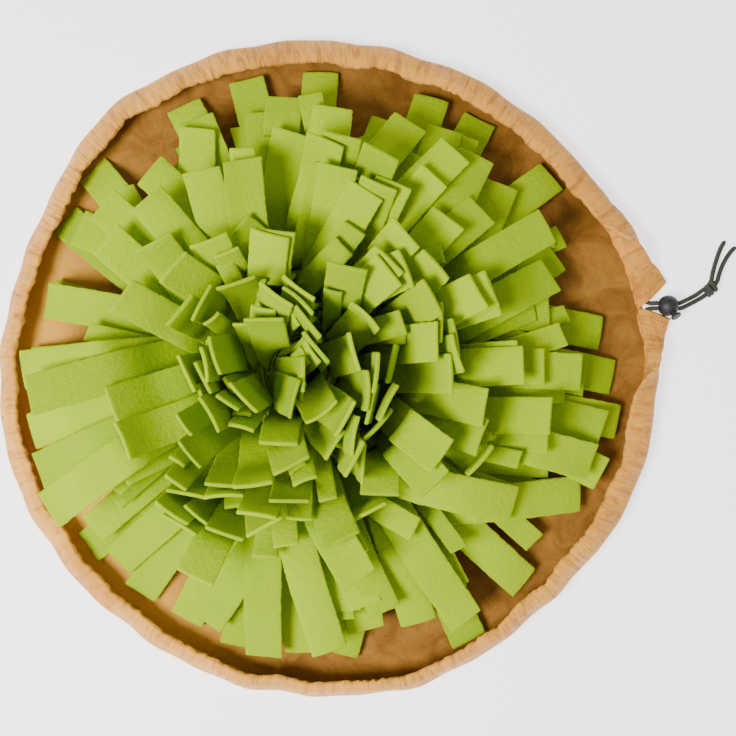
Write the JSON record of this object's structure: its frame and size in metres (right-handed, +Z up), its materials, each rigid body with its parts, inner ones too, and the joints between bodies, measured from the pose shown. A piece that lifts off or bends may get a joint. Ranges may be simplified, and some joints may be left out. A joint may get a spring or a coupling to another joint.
{
  "type": "treat mat",
  "caption": "Round fleece snuffle mat: flat cloth base, gathered drawstring rim with a cord lock, and rings of standing fleece strips that hide treats.",
  "frame": {"origin": "on the surface under the middle of the mat's outline, free cords left out", "axes": "+Z up, square to the mat; +X towards the drawstring's opening and the cord lock"},
  "size_m": [0.4984, 0.4428, 0.0991],
  "materials": {
    "panel": "brushed suede cloth, tan brown",
    "casing": "light tan woven cloth with a slight sheen",
    "cord": "dark braided cord",
    "lock": "matt black",
    "fleece": "lime green polar fleece"
  },
  "bodies": {
    "root": {"base_panel": "panel", "rim_casing": "casing", "drawstring": "cord", "lock_body": "lock", "cord_knot": "cord", "cord_upper_lead": "cord", "cord_lower_lead": "cord", "cord_upper_tail": "cord", "cord_lower_tail": "cord", "fleece_band_01": "fleece", "fleece_band_02": "fleece", "fleece_band_03": "fleece", "fleece_band_04": "fleece", "fleece_band_05": "fleece", "fleece_band_06": "fleece", "fleece_band_07": "fleece", "fleece_band_08": "fleece", "fleece_band_09": "fleece", "fleece_band_10": "fleece", "fleece_band_11": "fleece", "fleece_band_12": "fleece", "fleece_band_13": "fleece", "fleece_band_14": "fleece", "fleece_band_15": "fleece", "fleece_band_16": "fleece", "fleece_band_17": "fleece"},
    "button": {"lock_button": "lock"}
  },
  "joints": [
    {"name": "button_press", "type": "slide", "parent": "root", "child": "button", "axis": [-0.4066, 0.7647, -0.5], "range_m": [0, 0.002], "stiffness_N_per_m": 300}
  ]
}
